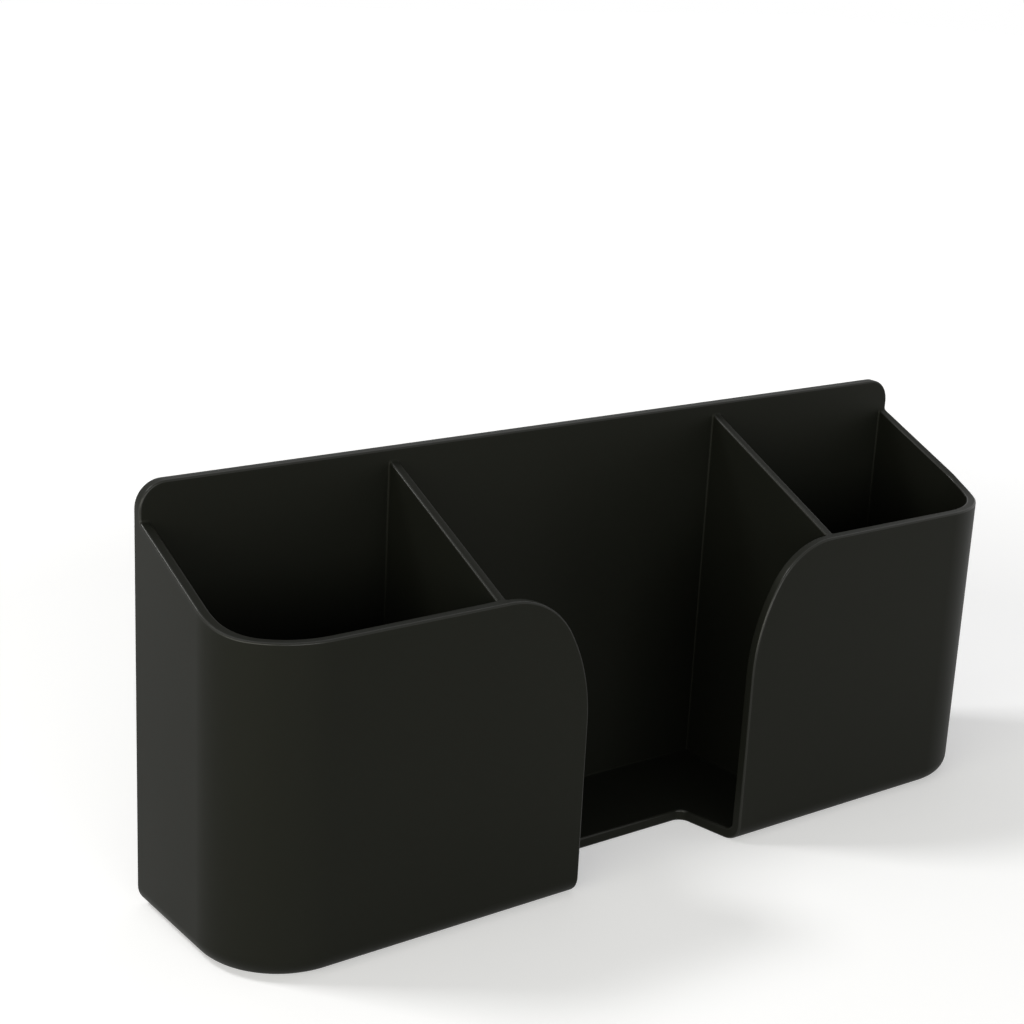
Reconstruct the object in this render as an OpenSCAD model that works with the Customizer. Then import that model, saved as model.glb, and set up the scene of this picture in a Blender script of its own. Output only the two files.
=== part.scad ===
// Holder for remote controls and a phone, moulded in one piece.
// The flat wall face looks to +Y, the front face to -Y, and the foot stands on z = 0.
// The frame's origin is the middle of the foot, under the middle of width and depth.

/* [Overall] */
// Width across the two ends
holder_w = 190; // [170:1:240]
// Depth from the wall face to the front face
holder_d = 41; // [38:0.5:60]
// Height of the back plate
back_h = 83.5; // [80:0.5:110]
// Height of the front wall
front_h = 64; // [54:0.5:68]

/* [Walls] */
// Thickness of the two ends and the front wall
wall_t = 2.1; // [1.6:0.1:3]
// Thickness of the back plate
back_t = 2.4; // [1.6:0.1:4]
// Thickness of the floor
floor_t = 2.4; // [1.6:0.1:4]
// Thickness of each of the two partitions
partition_t = 2; // [1.4:0.1:3]

/* [Corners] */
// Outside radius of the two front corners, seen from above
corner_r = 17.3; // [12:0.1:19]
// Radius of the back plate's two top corners
plate_corner_r = 5.2; // [2:0.1:6]
// Radius of the rounded foot edge along the ends and the front
foot_r = 4; // [2:0.1:5]
// Radius inside, where the floor meets the ends and the front
floor_fillet = 2; // [0.8:0.1:3]

/* [Rims] */
// How far below the top of the back plate the two end rims start
end_drop = 7.2; // [6.5:0.1:10]
// How far below the top of the back plate the partitions start
partition_drop = 2.5; // [1:0.1:6]
// Length of the level stretch of an end rim, back from the front face to where the slope would meet it
level_run = 10.8; // [8:0.1:14]
// Radius of the curve between the slope and the level stretch
rim_blend_r = 22; // [8:1:30]

/* [Middle pocket] */
// Clear width of the middle pocket, between the partitions
middle_w = 81.2; // [74:0.2:96]
// Width of the gap between the two front lips
gap_w = 42.4; // [34:0.2:50]
// Radius of the long curve of a lip, which runs down into the side of the gap
lip_side_r = 38; // [30:1:50]
// How far the short curve at the top of a lip turns, in degrees
lip_turn = 60; // [52:1:68]

/* [Floor notch] */
// How far the notch in the floor reaches back from the front face
notch_depth = 15.4; // [10:0.2:20]
// Width of the notch at its rear edge
notch_w = 38.4; // [26:0.2:42]
// Radius of the two rear corners of the notch
notch_corner_r = 2.5; // [1:0.1:4]

/* [Hidden] */
$fn = 96;
// Matte black plastic
plastic = [0.09, 0.09, 0.08];
// How far a cut runs on past the outside of what it cuts
spare = 10;
// How far a curve passes the line or curve that it runs into, so that the two cross
bite = 0.01;

// Planes across the depth
wall_y = holder_d / 2;
plate_y = wall_y - back_t;
front_y = -holder_d / 2;
inner_y = front_y + wall_t;
notch_y = front_y + notch_depth;
level_y = front_y + level_run;

// Half widths, from the middle of the holder
end_x = holder_w / 2;
bay_x = middle_w / 2;
gap_x = gap_w / 2;
notch_x = notch_w / 2;

// Heights at which the sloping rims leave the back plate
end_rim_z = back_h - end_drop;
partition_rim_z = back_h - partition_drop;
rim_angle = atan((end_rim_z - front_h) / (plate_y - level_y));
rim_centre = [level_y - rim_blend_r * tan(rim_angle / 2), front_h + rim_blend_r];

// The centres of a lip's two curves. The long one runs up from the side of the gap, and the short one
// takes over from it and runs on into the level rim.
lip_top_r = (bay_x - gap_x - lip_side_r * (1 - sin(lip_turn))) / sin(lip_turn);
lip_side_centre = [gap_x + lip_side_r, front_h - lip_top_r - (lip_side_r - lip_top_r) * cos(lip_turn)];
lip_top_centre = [bay_x, front_h - lip_top_r + bite];

// The direction from one point to another, one unit long
function toward(from, to) = (to - from) / norm(to - from);

// Half the angle of the corner at b, between its neighbours a and c
function half_angle(a, b, c) = acos(toward(b, a) * toward(b, c)) / 2;

// Where the arc that rounds corner b leaves the side that runs to its neighbour a
function arc_end(a, b, c, r) = b + toward(b, a) * r / tan(half_angle(a, b, c));

// The centre of the arc that rounds corner b
function arc_centre(a, b, c, r) =
    b + toward([0, 0], toward(b, a) + toward(b, c)) * r / sin(half_angle(a, b, c));

// A slice of a disc about a centre, between the directions of two points on its edge.
// The third point lies between the two directions, outside the disc.
module slice(centre, r, first, outside, last) {
    intersection() {
        translate(centre) circle(r);
        polygon([for (p = [centre, first, outside, last]) centre + 2 * (p - centre)]);
    }
}

// An outline with straight sides whose outer corners are rounded, each by its own radius, or 0
module rounded_outline(points, radii) {
    last = len(points) - 1;
    corners = [for (i = [0 : last]) [points[i == 0 ? last : i - 1], points[i], points[i == last ? 0 : i + 1]]];
    polygon([
        for (i = [0 : last])
            let (a = corners[i][0], b = corners[i][1], c = corners[i][2], r = radii[i])
                each r == 0 ? [b] : [arc_end(a, b, c, r), arc_end(c, b, a, r)]
    ]);
    for (i = [0 : last])
        if (radii[i] > 0) {
            a = corners[i][0];
            b = corners[i][1];
            c = corners[i][2];
            r = radii[i];
            slice(arc_centre(a, b, c, r), r, arc_end(a, b, c, r), b, arc_end(c, b, a, r));
        }
}

// Extrudes a profile drawn in width and height along the depth
module along_depth(from, to) {
    translate([0, to, 0]) rotate([90, 0, 0]) linear_extrude(to - from) children();
}

// Extrudes a profile drawn in depth and height along the width
module along_width(from, to) {
    translate([from, 0, 0]) rotate([90, 0, 90]) linear_extrude(to - from) children();
}

// Half an upright section, with its rounded foot edge on the far side
module foot_section(reach, foot, low, high) {
    rounded_outline([[0, low], [reach, low], [reach, high], [0, high]], [0, foot, 0, 0]);
}

// An upright block with a flat rear, two round front corners and a rounded foot edge.
// One section runs along the front and both sides and turns round the corners. The fill overlaps it.
module tub_form(half_w, rear, front, corner, foot, low, high) {
    centre_x = half_w - corner;
    centre_y = front + corner;
    lap = (corner - foot) / 2;
    for (side = [0, 1])
        mirror([side, 0, 0])
            translate([centre_x, centre_y, 0]) {
                rotate(-90) rotate_extrude(angle = 90) foot_section(corner, foot, low, high);
                along_depth(0, rear - centre_y) foot_section(corner, foot, low, high);
            }
    translate([0, centre_y, 0])
        rotate([90, 0, -90])
            linear_extrude(2 * centre_x, center = true) foot_section(corner, foot, low, high);
    translate([0, 0, low])
        linear_extrude(high - low)
            polygon([
                [-centre_x - lap, rear],
                [-centre_x - lap, centre_y],
                [-centre_x, centre_y],
                [-centre_x, centre_y - lap],
                [centre_x, centre_y - lap],
                [centre_x, centre_y],
                [centre_x + lap, centre_y],
                [centre_x + lap, rear]
            ]);
}

// Everything in front of the back plate that is above the rims: above the level, above the slope, and
// above the curve that runs from one into the other
module above_rims() {
    along_width(-end_x - spare, end_x + spare)
        intersection() {
            translate(rim_centre) {
                translate([-back_h, -rim_blend_r]) square(back_h);
                rotate(rim_angle) translate([0, bite - rim_blend_r]) square(back_h);
                circle(rim_blend_r);
            }
            translate([plate_y - back_h, 0]) square([back_h, 2 * back_h]);
        }
}

// What lies outside the round of a top corner of the back plate
module plate_corner_cut() {
    centre = [end_x - plate_corner_r, back_h - plate_corner_r];
    along_depth(front_y - spare, wall_y + spare)
        translate(centre)
            difference() {
                square(plate_corner_r + spare);
                circle(plate_corner_r);
            }
}

// The front wall between the gap and the partition, seen from the front, with the lip's curved edge
module lip_outline() {
    low = -2 * spare;
    join = lip_side_centre + lip_side_r * [-sin(lip_turn), cos(lip_turn)];
    side_end = [gap_x, lip_side_centre.y];
    polygon([[gap_x, low], side_end, lip_side_centre, [lip_side_centre.x, low]]);
    slice(lip_side_centre, lip_side_r, side_end, [side_end.x, join.y], join);
    translate(lip_top_centre) circle(lip_top_r);
}

// The opening between the two lips and over their curves, right through the front wall
module front_gap_cut() {
    along_depth(front_y - spare, inner_y)
        difference() {
            translate([-bay_x, -spare]) square([middle_w, back_h + 2 * spare]);
            lip_outline();
            mirror([1, 0]) lip_outline();
        }
}

// The notch that carries the gap on into the floor, through the floor and the fillet on it
module floor_notch_cut() {
    arc_y = notch_y - notch_corner_r;
    translate([0, 0, -spare])
        linear_extrude(spare + floor_t + 2 * floor_fillet) {
            polygon([
                [-gap_x, front_y - spare],
                [gap_x, front_y - spare],
                [gap_x, inner_y],
                [notch_x, arc_y],
                [-notch_x, arc_y],
                [-gap_x, inner_y]
            ]);
            rounded_outline(
                [[-notch_x, inner_y], [notch_x, inner_y], [notch_x, notch_y], [-notch_x, notch_y]],
                [0, 0, notch_corner_r, notch_corner_r]
            );
        }
}

// The ends, the front wall and the floor, all as high as the back plate
module shell() {
    difference() {
        tub_form(end_x, wall_y, front_y, corner_r, foot_r, 0, back_h);
        tub_form(end_x - wall_t, plate_y, inner_y, corner_r - wall_t, floor_fillet, floor_t, back_h + spare);
    }
}

// The shell with its rims, lips and gap
module tub() {
    difference() {
        shell();
        above_rims();
        front_gap_cut();
        plate_corner_cut();
        mirror([1, 0, 0]) plate_corner_cut();
    }
}

// One of the two walls between the pockets, with a straight sloping top, let into what it joins
module partition() {
    along_width(bay_x, bay_x + partition_t)
        polygon([
            [plate_y + back_t / 2, floor_t / 2],
            [plate_y + back_t / 2, partition_rim_z],
            [plate_y, partition_rim_z],
            [inner_y, front_h],
            [inner_y - wall_t / 2, front_h],
            [inner_y - wall_t / 2, floor_t + floor_fillet],
            [inner_y + floor_fillet, floor_t / 2]
        ]);
}

// The whole moulding
module holder() {
    color(plastic)
        difference() {
            union() {
                tub();
                partition();
                mirror([1, 0, 0]) partition();
            }
            floor_notch_cut();
        }
}

holder();
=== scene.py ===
"""The looks of a one-piece holder with three pockets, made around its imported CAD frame."""

import math

import bmesh
import bpy
from mathutils import Euler, Matrix, Vector


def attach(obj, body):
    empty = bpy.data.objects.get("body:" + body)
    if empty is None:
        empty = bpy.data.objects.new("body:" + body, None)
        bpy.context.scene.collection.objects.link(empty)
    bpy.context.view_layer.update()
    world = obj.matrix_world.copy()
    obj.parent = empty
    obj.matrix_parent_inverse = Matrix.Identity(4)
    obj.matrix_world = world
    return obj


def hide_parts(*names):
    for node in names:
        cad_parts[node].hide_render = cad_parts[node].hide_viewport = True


MM = 0.001
X, Y, Z = 0, 1, 2

# Camera: where it aims, how far off it stands, and how it is turned, measured from the photograph
AIM = Vector((-12.196, 18.638, 66.326)) * MM
AIM_DISTANCE = 394.94 * MM
HEADING = math.radians(37.12)
TILT_DOWN = math.radians(16.97)
ROLL = math.radians(2.83)
LENS_MM = 68.35
SENSOR_MM = 36.0
CLIP_NEAR = 0.01
CLIP_FAR = 20.0

# The point that every lamp faces
LAMP_AIM = Vector((0, 0, 40)) * MM

# The holder's sizes, the same as in its source
HOLDER_W = 190 * MM
HOLDER_D = 41 * MM
BACK_H = 83.5 * MM
FRONT_H = 64 * MM
WALL_T = 2.1 * MM
BACK_T = 2.4 * MM
FLOOR_T = 2.4 * MM
PARTITION_T = 2 * MM
CORNER_R = 17.3 * MM
PLATE_CORNER_R = 5.2 * MM
FOOT_R = 4 * MM
FLOOR_FILLET = 2 * MM
END_DROP = 7.2 * MM
PARTITION_DROP = 2.5 * MM
LEVEL_RUN = 10.8 * MM
RIM_BLEND_R = 22 * MM
MIDDLE_W = 81.2 * MM
GAP_W = 42.4 * MM
LIP_SIDE_R = 38 * MM
LIP_TURN = math.radians(60)
NOTCH_DEPTH = 15.4 * MM
NOTCH_W = 38.4 * MM
NOTCH_CORNER_R = 2.5 * MM

# How far a cutting piece runs on past the outside
SPARE = 10 * MM

# Planes across the width, the depth and the height
END_X = HOLDER_W / 2
BAY_X = MIDDLE_W / 2
GAP_X = GAP_W / 2
NOTCH_X = NOTCH_W / 2
WALL_Y = HOLDER_D / 2
FRONT_Y = -HOLDER_D / 2
PLATE_Y = WALL_Y - BACK_T
INNER_Y = FRONT_Y + WALL_T
NOTCH_Y = FRONT_Y + NOTCH_DEPTH
END_RIM_Z = BACK_H - END_DROP
PARTITION_RIM_Z = BACK_H - PARTITION_DROP

# How many straight steps a curve has
CORNER_STEPS = 30
FOOT_STEPS = 10
FILLET_STEPS = 6
BLEND_STEPS = 12
LIP_STEPS = 18
NOTCH_STEPS = 8
PLATE_STEPS = 14

# The slight rounding that a mould leaves on every edge, and the least turn that counts as an edge
EDGE_ROUND = 0.4 * MM
EDGE_STEPS = 3
EDGE_ANGLE = math.radians(28)

# The mark on the strips that round an outer edge. They are all narrower than this on average.
EDGE_MARK = "outer_edge"
STRIP_WIDTH = 0.3 * MM

# How much more the wide faces count than the narrow ones in the smooth shading
WIDE_FACE_WEIGHT = 50

# Points closer than this are the same point, and faces turned less than this lie in one plane
SAME = 1e-7
FLAT_ANGLE = math.radians(0.1)

# Colours, linear
PLASTIC_DARK = (0.0048, 0.0052, 0.0039, 1.0)
PLASTIC_LIGHT = (0.0056, 0.0060, 0.0045, 1.0)
WARM_GLOSS = (1.0, 1.0, 0.84, 1.0)
FLOOR_COLOUR = (0.80, 0.80, 0.80, 1.0)
WHITE = (1.0, 1.0, 1.0, 1.0)
WARM_LIGHT = (1.0, 0.985, 0.88)
WHITE_LIGHT = (1.0, 1.0, 1.0)

# The plastic's fine grain, and the slow change of colour and gloss over it
GRAINS_PER_METRE = 2600.0
GRAIN_DETAIL = 2.0
GRAIN_ROUGHNESS = 0.6
GRAIN_STRENGTH = 0.25
GRAIN_HEIGHT = 0.02 * MM
PATCHES_PER_METRE = 28.0
PATCH_DETAIL = 3.0

# The plastic's gloss, and the sheen on its outer edges
PLASTIC_ROUGHNESS_LEAST = 0.46
PLASTIC_ROUGHNESS_MOST = 0.54
PLASTIC_IOR = 1.49
PLASTIC_GLOSS = 0.082
EDGE_SHEEN = 0.30
EDGE_SHEEN_ROUGHNESS = 0.24

# The floor, and how it turns white from near the holder to far from it
FLOOR_WIDTH = 6.0
FLOOR_ROUGHNESS = 0.9
NEAR_DISTANCE = 0.2
FAR_DISTANCE = 0.9
NEAR_WHITE = 0.35
FAR_WHITE = 1.0

# How brightly the surround lights the holder, and how brightly it is seen
SURROUND_LIGHT = 0.2
SURROUND_SEEN = 1.0


def deselect():
    """Leaves nothing selected, so that an operator acts on its own piece alone."""
    for thing in bpy.context.selected_objects:
        thing.select_set(False)


def select_only(piece):
    """Selects one piece and makes it the active one."""
    deselect()
    piece.select_set(True)
    bpy.context.view_layer.objects.active = piece


def apply_modifier(piece, modifier):
    """Makes a modifier part of the piece's mesh."""
    select_only(piece)
    bpy.ops.object.modifier_apply(modifier=modifier.name)


def pick_edges(piece, wanted):
    """Selects, in edit mode, just the edges whose two ends are wanted."""
    bpy.ops.mesh.select_mode(type="EDGE")
    bpy.ops.mesh.select_all(action="DESELECT")
    shape = bmesh.from_edit_mesh(piece.data)
    for edge in shape.edges:
        edge.select_set(wanted(edge.verts[0].co, edge.verts[1].co))
    bmesh.update_edit_mesh(piece.data)


def both_at(axis, place):
    """A test of two points: whether both lie on a plane across an axis."""
    return lambda a, b: abs(a[axis] - place) < SAME and abs(b[axis] - place) < SAME


def block(name, low, high):
    """A block between two corners."""
    deselect()
    bpy.ops.mesh.primitive_cube_add(size=1.0)
    piece = bpy.context.active_object
    piece.name = name
    for corner in piece.data.vertices:
        corner.co = [low[i] if corner.co[i] < 0 else high[i] for i in range(3)]
    return piece


def tub_block(name, low, high, corner_r, foot_r, foot_steps):
    """An upright block with two round front corners and a rounded foot edge along its sides and front."""
    piece = block(name, low, high)
    on_front = both_at(Y, low[Y])
    on_rear = both_at(Y, high[Y])
    on_foot = both_at(Z, low[Z])
    bpy.ops.object.mode_set(mode="EDIT")
    pick_edges(piece, lambda a, b: on_front(a, b) and abs(a.z - b.z) > SAME)
    bpy.ops.mesh.bevel(offset=corner_r, segments=CORNER_STEPS, affect="EDGES")
    pick_edges(piece, lambda a, b: on_foot(a, b) and not on_rear(a, b))
    bpy.ops.mesh.bevel(offset=foot_r, segments=foot_steps, affect="EDGES")
    bpy.ops.object.mode_set(mode="OBJECT")
    return piece


def outline_point(axis, place, u, v):
    """A point of an outline on a plane across an axis. The outline's u and v run along the other two axes."""
    point = [u, v]
    point.insert(axis, place)
    return Vector(point)


def set_tip(piece, point):
    """Puts the end of the line that is being drawn exactly at a point."""
    shape = bmesh.from_edit_mesh(piece.data)
    for corner in shape.verts:
        if corner.select:
            corner.co = point
    bmesh.update_edit_mesh(piece.data)


def drawn(name, axis, low, high, start, moves):
    """A solid drawn as a closed outline and extruded along an axis, from low to high.

    Each move is a point to draw a straight line to, or a point, a centre and steps for an arc.
    """
    deselect()
    bpy.ops.mesh.primitive_plane_add(size=MM)
    piece = bpy.context.active_object
    piece.name = name
    bpy.ops.object.mode_set(mode="EDIT")
    bpy.ops.mesh.select_mode(type="VERT")
    bpy.ops.mesh.select_all(action="SELECT")
    bpy.ops.mesh.merge(type="CENTER")
    tip = outline_point(axis, low, *start)
    set_tip(piece, tip)
    across = Vector([1.0 if i == axis else 0.0 for i in range(3)])
    for move in moves + [(start,)]:
        goal = outline_point(axis, low, *move[0])
        if len(move) == 1:
            bpy.ops.mesh.extrude_region_move(TRANSFORM_OT_translate={"value": goal - tip})
        else:
            centre = outline_point(axis, low, *move[1])
            a, b = tip - centre, goal - centre
            turn = math.atan2(a.cross(b).dot(across), a.dot(b))
            bpy.ops.mesh.spin(steps=move[2], angle=-turn, center=centre, axis=across)
        set_tip(piece, goal)
        tip = goal
    bpy.ops.mesh.select_all(action="SELECT")
    bpy.ops.mesh.remove_doubles(threshold=SAME)
    bpy.ops.mesh.select_all(action="SELECT")
    bpy.ops.mesh.edge_face_add()
    bpy.ops.mesh.extrude_region_move(TRANSFORM_OT_translate={"value": across * (high - low)})
    bpy.ops.mesh.select_all(action="SELECT")
    bpy.ops.mesh.normals_make_consistent(inside=False)
    bpy.ops.object.mode_set(mode="OBJECT")
    middle = (low + high) / 2
    for corner in piece.data.vertices:
        corner.co[axis] = low if corner.co[axis] < middle else high
    return piece


def combine(piece, tool, operation):
    """Joins a tool piece to a piece, or cuts it away, and drops the tool."""
    step = piece.modifiers.new("combine", "BOOLEAN")
    step.operation = operation
    step.solver = "EXACT"
    step.object = tool
    apply_modifier(piece, step)
    bpy.data.objects.remove(tool)


def above_rims():
    """What is cut away above the sloping and level rims, in front of the back plate."""
    angle = math.atan((END_RIM_Z - FRONT_H) / (PLATE_Y - FRONT_Y - LEVEL_RUN))
    centre = (FRONT_Y + LEVEL_RUN - RIM_BLEND_R * math.tan(angle / 2), FRONT_H + RIM_BLEND_R)
    slope_end = (centre[0] + RIM_BLEND_R * math.sin(angle), centre[1] - RIM_BLEND_R * math.cos(angle))
    top = BACK_H + SPARE
    return drawn("above_rims", X, -END_X - SPARE, END_X + SPARE, (FRONT_Y - SPARE, FRONT_H), [
        ((centre[0], FRONT_H),),
        (slope_end, centre, BLEND_STEPS),
        ((PLATE_Y, END_RIM_Z),),
        ((PLATE_Y, top),),
        ((FRONT_Y - SPARE, top),),
    ])


def front_gap():
    """What is cut away between the two lips and over their curves."""
    lip_top_r = (BAY_X - GAP_X - LIP_SIDE_R * (1 - math.sin(LIP_TURN))) / math.sin(LIP_TURN)
    side_z = FRONT_H - lip_top_r - (LIP_SIDE_R - lip_top_r) * math.cos(LIP_TURN)
    side_centre = GAP_X + LIP_SIDE_R
    join_x = side_centre - LIP_SIDE_R * math.sin(LIP_TURN)
    join_z = side_z + LIP_SIDE_R * math.cos(LIP_TURN)
    top_z = FRONT_H - lip_top_r
    top = BACK_H + SPARE
    return drawn("front_gap", Y, FRONT_Y - SPARE, INNER_Y, (-GAP_X, -SPARE), [
        ((GAP_X, -SPARE),),
        ((GAP_X, side_z),),
        ((join_x, join_z), (side_centre, side_z), LIP_STEPS),
        ((BAY_X, FRONT_H), (BAY_X, top_z), LIP_STEPS),
        ((BAY_X, top),),
        ((-BAY_X, top),),
        ((-BAY_X, FRONT_H),),
        ((-join_x, join_z), (-BAY_X, top_z), LIP_STEPS),
        ((-GAP_X, side_z), (-side_centre, side_z), LIP_STEPS),
    ])


def partition(side):
    """One of the two walls between the pockets, let into what it joins."""
    low, high = sorted((side * BAY_X, side * (BAY_X + PARTITION_T)))
    return drawn("partition", X, low, high, (PLATE_Y + BACK_T / 2, FLOOR_T / 2), [
        ((PLATE_Y + BACK_T / 2, PARTITION_RIM_Z),),
        ((PLATE_Y, PARTITION_RIM_Z),),
        ((INNER_Y, FRONT_H),),
        ((INNER_Y - WALL_T / 2, FRONT_H - WALL_T),),
        ((INNER_Y - WALL_T / 2, FLOOR_T + FLOOR_FILLET),),
        ((INNER_Y + FLOOR_FILLET, FLOOR_T / 2),),
    ])


def floor_notch():
    """What is cut away from the floor, in line with the gap."""
    arc_x = NOTCH_X - NOTCH_CORNER_R
    arc_y = NOTCH_Y - NOTCH_CORNER_R
    return drawn("floor_notch", Z, -SPARE, FLOOR_T + 2 * FLOOR_FILLET, (-GAP_X, FRONT_Y - SPARE), [
        ((GAP_X, FRONT_Y - SPARE),),
        ((GAP_X, INNER_Y),),
        ((NOTCH_X, arc_y),),
        ((arc_x, NOTCH_Y), (arc_x, arc_y), NOTCH_STEPS),
        ((-arc_x, NOTCH_Y),),
        ((-NOTCH_X, arc_y), (-arc_x, arc_y), NOTCH_STEPS),
        ((-GAP_X, INNER_Y),),
    ])


def join_flat_faces(piece):
    """Makes one face of the faces that the cuts left side by side in one plane."""
    select_only(piece)
    bpy.ops.object.mode_set(mode="EDIT")
    bpy.ops.mesh.select_all(action="SELECT")
    bpy.ops.mesh.dissolve_limited(angle_limit=FLAT_ANGLE)
    bpy.ops.object.mode_set(mode="OBJECT")


def round_plate_corners(piece):
    """Rounds the two top corners of the back plate."""
    on_top = both_at(Z, BACK_H)
    at_left = both_at(X, -END_X)
    at_right = both_at(X, END_X)
    select_only(piece)
    bpy.ops.object.mode_set(mode="EDIT")
    pick_edges(piece, lambda a, b: on_top(a, b) and (at_left(a, b) or at_right(a, b)))
    bpy.ops.mesh.bevel(offset=PLATE_CORNER_R, segments=PLATE_STEPS, affect="EDGES")
    bpy.ops.object.mode_set(mode="OBJECT")


def rounds_an_outer_edge(face):
    """Whether a face is one of the thin strips that round an edge which sticks out."""
    longest = max(face.edges, key=lambda edge: edge.calc_length())
    return longest.is_convex and face.calc_area() < longest.calc_length() * STRIP_WIDTH


def soften_edges(piece):
    """Rounds every edge slightly, marks the outer ones, and shades smoothly with the flat faces kept flat."""
    select_only(piece)
    bpy.ops.object.mode_set(mode="EDIT")
    bpy.ops.mesh.select_mode(type="EDGE")
    bpy.ops.mesh.select_all(action="DESELECT")
    bpy.ops.mesh.edges_select_sharp(sharpness=EDGE_ANGLE)
    bpy.ops.mesh.bevel(offset=EDGE_ROUND, segments=EDGE_STEPS, affect="EDGES", miter_outer="ARC",
                       clamp_overlap=False)
    shape = bmesh.from_edit_mesh(piece.data)
    edge_mark = shape.faces.layers.float.new(EDGE_MARK)
    for face in shape.faces:
        face[edge_mark] = 1.0 if rounds_an_outer_edge(face) else 0.0
    bmesh.update_edit_mesh(piece.data)
    bpy.ops.object.mode_set(mode="OBJECT")
    bpy.ops.object.shade_smooth()
    flat_faces = piece.modifiers.new("flat_faces", "WEIGHTED_NORMAL")
    flat_faces.mode = "FACE_AREA"
    flat_faces.weight = WIDE_FACE_WEIGHT
    flat_faces.keep_sharp = False
    apply_modifier(piece, flat_faces)


def moulding():
    """The holder as it comes out of the mould, in one piece."""
    piece = tub_block("moulding", (-END_X, FRONT_Y, 0), (END_X, WALL_Y, BACK_H), CORNER_R, FOOT_R, FOOT_STEPS)
    room_low = (-END_X + WALL_T, INNER_Y, FLOOR_T)
    room_high = (END_X - WALL_T, PLATE_Y, BACK_H + SPARE)
    room = tub_block("room", room_low, room_high, CORNER_R - WALL_T, FLOOR_FILLET, FILLET_STEPS)
    combine(piece, room, "DIFFERENCE")
    combine(piece, above_rims(), "DIFFERENCE")
    combine(piece, front_gap(), "DIFFERENCE")
    combine(piece, partition(-1), "UNION")
    combine(piece, partition(1), "UNION")
    combine(piece, floor_notch(), "DIFFERENCE")
    join_flat_faces(piece)
    round_plate_corners(piece)
    soften_edges(piece)
    return piece


def new_material(name):
    """A new node material, with its nodes and its shader."""
    material = bpy.data.materials.new(name)
    material.use_nodes = True
    return material, material.node_tree, material.node_tree.nodes["Principled BSDF"]


def grain_group():
    """The matte grain of a moulded surface: a height for bumps, and a mask that shifts slowly over it."""
    group = bpy.data.node_groups.new("mould_grain", "ShaderNodeTree")
    sockets = group.interface
    sockets.new_socket("Vector", in_out="INPUT", socket_type="NodeSocketVector")
    sockets.new_socket("Grains per metre", in_out="INPUT", socket_type="NodeSocketFloat")
    sockets.new_socket("Height", in_out="OUTPUT", socket_type="NodeSocketFloat")
    sockets.new_socket("Mask", in_out="OUTPUT", socket_type="NodeSocketFloat")
    nodes, links = group.nodes, group.links
    came_in = nodes.new("NodeGroupInput")
    goes_out = nodes.new("NodeGroupOutput")
    fine = nodes.new("ShaderNodeTexNoise")
    fine.inputs["Detail"].default_value = GRAIN_DETAIL
    fine.inputs["Roughness"].default_value = GRAIN_ROUGHNESS
    slow = nodes.new("ShaderNodeTexNoise")
    slow.inputs["Scale"].default_value = PATCHES_PER_METRE
    slow.inputs["Detail"].default_value = PATCH_DETAIL
    links.new(came_in.outputs["Vector"], fine.inputs["Vector"])
    links.new(came_in.outputs["Grains per metre"], fine.inputs["Scale"])
    links.new(came_in.outputs["Vector"], slow.inputs["Vector"])
    links.new(fine.outputs["Fac"], goes_out.inputs["Height"])
    links.new(slow.outputs["Fac"], goes_out.inputs["Mask"])
    return group


def black_plastic(grain):
    """Black moulded plastic with a fine matte grain and a light sheen on its outer edges."""
    material, tree, shader = new_material("black_plastic")
    nodes, links = tree.nodes, tree.links
    where = nodes.new("ShaderNodeTexCoord")
    surface = nodes.new("ShaderNodeGroup")
    surface.node_tree = grain
    surface.inputs["Grains per metre"].default_value = GRAINS_PER_METRE
    links.new(where.outputs["Object"], surface.inputs["Vector"])

    colour = nodes.new("ShaderNodeMix")
    colour.data_type = "RGBA"
    colour.inputs["A"].default_value = PLASTIC_DARK
    colour.inputs["B"].default_value = PLASTIC_LIGHT
    links.new(surface.outputs["Mask"], colour.inputs["Factor"])
    links.new(colour.outputs["Result"], shader.inputs["Base Color"])

    gloss = nodes.new("ShaderNodeMapRange")
    gloss.inputs["To Min"].default_value = PLASTIC_ROUGHNESS_LEAST
    gloss.inputs["To Max"].default_value = PLASTIC_ROUGHNESS_MOST
    links.new(surface.outputs["Mask"], gloss.inputs["Value"])
    links.new(gloss.outputs["Result"], shader.inputs["Roughness"])

    bump = nodes.new("ShaderNodeBump")
    bump.inputs["Strength"].default_value = GRAIN_STRENGTH
    bump.inputs["Distance"].default_value = GRAIN_HEIGHT
    links.new(surface.outputs["Height"], bump.inputs["Height"])
    links.new(bump.outputs["Normal"], shader.inputs["Normal"])

    edges = nodes.new("ShaderNodeAttribute")
    edges.attribute_name = EDGE_MARK
    sheen = nodes.new("ShaderNodeMapRange")
    sheen.inputs["To Max"].default_value = EDGE_SHEEN
    links.new(edges.outputs["Fac"], sheen.inputs["Value"])
    links.new(sheen.outputs["Result"], shader.inputs["Coat Weight"])

    shader.inputs["Coat Roughness"].default_value = EDGE_SHEEN_ROUGHNESS
    shader.inputs["IOR"].default_value = PLASTIC_IOR
    shader.inputs["Specular IOR Level"].default_value = PLASTIC_GLOSS
    shader.inputs["Specular Tint"].default_value = WARM_GLOSS
    return material


def background_rays(tree):
    """The socket that is 1 for what is seen, directly or in gloss or glass, and 0 for what only lights."""
    nodes, links = tree.nodes, tree.links
    path = nodes.new("ShaderNodeLightPath")
    rays = path.outputs["Is Camera Ray"]
    for kind in ("Is Glossy Ray", "Is Transmission Ray"):
        either = nodes.new("ShaderNodeMath")
        either.operation = "MAXIMUM"
        links.new(rays, either.inputs[0])
        links.new(path.outputs[kind], either.inputs[1])
        rays = either.outputs["Value"]
    return rays


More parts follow.
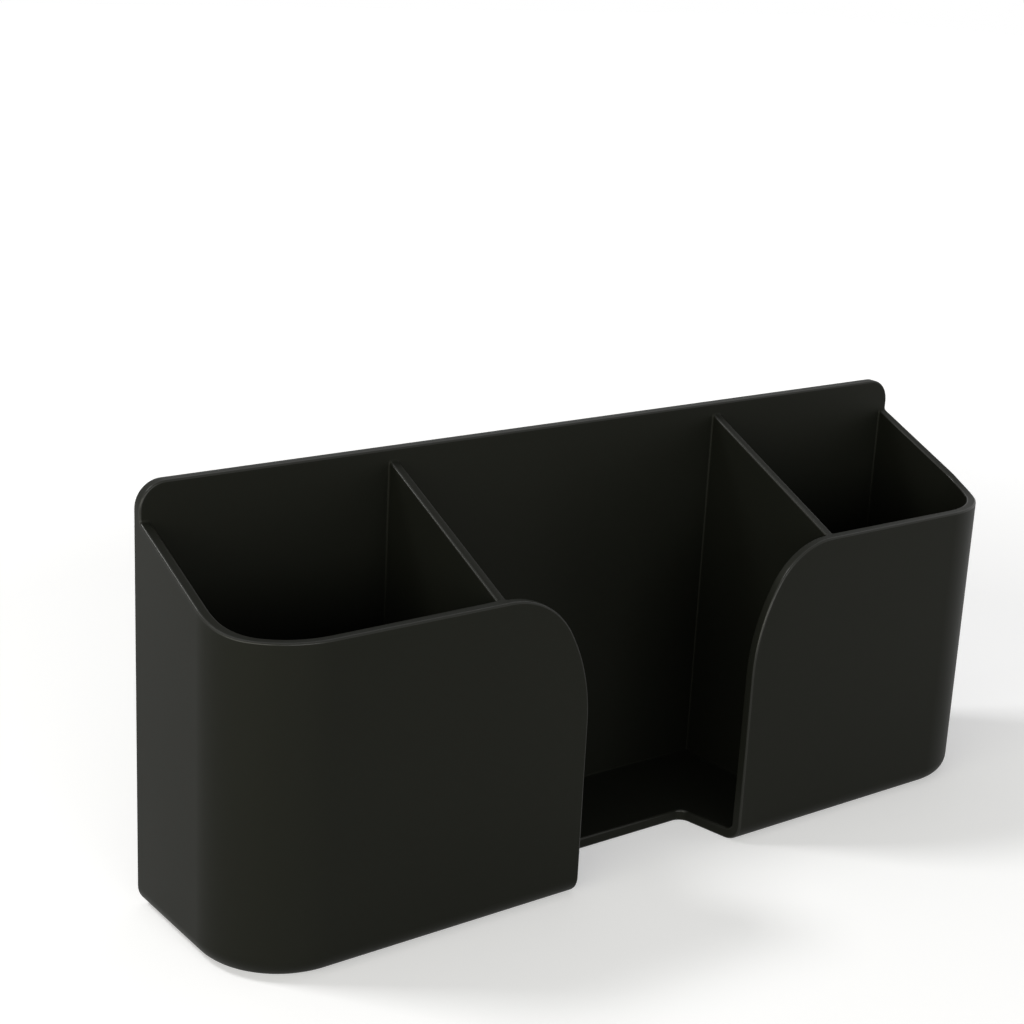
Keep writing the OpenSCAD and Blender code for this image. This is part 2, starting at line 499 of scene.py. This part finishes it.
def floor_material():
    """A pale floor that turns white away from the holder, and keeps its shadow near it."""
    material, tree, shader = new_material("floor")
    nodes, links = tree.nodes, tree.links
    shader.inputs["Base Color"].default_value = FLOOR_COLOUR
    shader.inputs["Roughness"].default_value = FLOOR_ROUGHNESS
    shader.inputs["Emission Color"].default_value = WHITE
    where = nodes.new("ShaderNodeTexCoord")
    distance = nodes.new("ShaderNodeVectorMath")
    distance.operation = "LENGTH"
    links.new(where.outputs["Object"], distance.inputs[0])
    white = nodes.new("ShaderNodeMapRange")
    white.inputs["From Min"].default_value = NEAR_DISTANCE
    white.inputs["From Max"].default_value = FAR_DISTANCE
    white.inputs["To Min"].default_value = NEAR_WHITE
    white.inputs["To Max"].default_value = FAR_WHITE
    links.new(distance.outputs["Value"], white.inputs["Value"])
    seen = nodes.new("ShaderNodeMath")
    seen.operation = "MULTIPLY"
    links.new(white.outputs["Result"], seen.inputs[0])
    links.new(background_rays(tree), seen.inputs[1])
    links.new(seen.outputs["Value"], shader.inputs["Emission Strength"])
    return material


def studio_floor(material):
    """A wide plain floor in the plane of the foot."""
    deselect()
    bpy.ops.mesh.primitive_plane_add(size=FLOOR_WIDTH, location=(0.0, 0.0, 0.0))
    floor = bpy.context.active_object
    floor.name = "floor"
    floor.data.materials.append(material)


def soft_lamp(name, place, width, height, power, colour=WHITE_LIGHT):
    """A soft lamp with a rectangular face, turned towards the holder. Its power is in watts."""
    lamp = bpy.data.lights.new(name, "AREA")
    lamp.shape = "RECTANGLE"
    lamp.size = width
    lamp.size_y = height
    lamp.energy = power
    lamp.color = colour
    stand = bpy.data.objects.new(name, lamp)
    bpy.context.collection.objects.link(stand)
    stand.location = place
    stand.rotation_euler = (LAMP_AIM - Vector(place)).to_track_quat("-Z", "Y").to_euler()


def studio_world():
    """A soft grey surround that the camera sees as white."""
    world = bpy.data.worlds.new("studio")
    bpy.context.scene.world = world
    world.use_nodes = True
    nodes, links = world.node_tree.nodes, world.node_tree.links
    nodes.clear()
    surround = nodes.new("ShaderNodeBackground")
    surround.inputs["Color"].default_value = WHITE
    surround.inputs["Strength"].default_value = SURROUND_LIGHT
    seen = nodes.new("ShaderNodeBackground")
    seen.inputs["Color"].default_value = WHITE
    seen.inputs["Strength"].default_value = SURROUND_SEEN
    choose = nodes.new("ShaderNodeMixShader")
    output = nodes.new("ShaderNodeOutputWorld")
    links.new(background_rays(world.node_tree), choose.inputs["Fac"])
    links.new(surround.outputs["Background"], choose.inputs[1])
    links.new(seen.outputs["Background"], choose.inputs[2])
    links.new(choose.outputs["Shader"], output.inputs["Surface"])


def photo_camera():
    """The camera, at the photograph's angle."""
    data = bpy.data.cameras.new("camera")
    data.lens = LENS_MM
    data.sensor_width = SENSOR_MM
    data.clip_start = CLIP_NEAR
    data.clip_end = CLIP_FAR
    camera = bpy.data.objects.new("camera", data)
    bpy.context.collection.objects.link(camera)
    turn = Euler((math.pi / 2 - TILT_DOWN, 0.0, -HEADING)).to_matrix() @ Matrix.Rotation(ROLL, 3, "Z")
    camera.rotation_euler = turn.to_euler()
    camera.location = AIM + turn @ Vector((0.0, 0.0, AIM_DISTANCE))
    bpy.context.scene.camera = camera


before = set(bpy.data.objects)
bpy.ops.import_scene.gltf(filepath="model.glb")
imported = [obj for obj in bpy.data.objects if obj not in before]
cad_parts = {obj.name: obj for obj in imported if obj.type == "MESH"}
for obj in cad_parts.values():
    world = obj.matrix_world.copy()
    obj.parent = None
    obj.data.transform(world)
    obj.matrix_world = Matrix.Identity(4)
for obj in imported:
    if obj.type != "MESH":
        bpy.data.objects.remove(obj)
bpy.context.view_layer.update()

plastic = black_plastic(grain_group())

holder = moulding()
holder.data.materials.append(plastic)
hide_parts("holder")
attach(holder, "root")

studio_floor(floor_material())
studio_world()
soft_lamp("key", place=(-1.2, -0.45, 0.30), width=1.2, height=0.6, power=12.3, colour=WARM_LIGHT)
soft_lamp("fill", place=(-0.25, -1.38, 0.34), width=1.0, height=0.6, power=9.5)
soft_lamp("top", place=(0.1, 0.3, 1.4), width=1.2, height=1.2, power=1.5)
soft_lamp("rim", place=(-0.68, 0.56, 1.1), width=0.3, height=0.3, power=8.0)
photo_camera()
bpy.context.scene.view_settings.view_transform = "Standard"
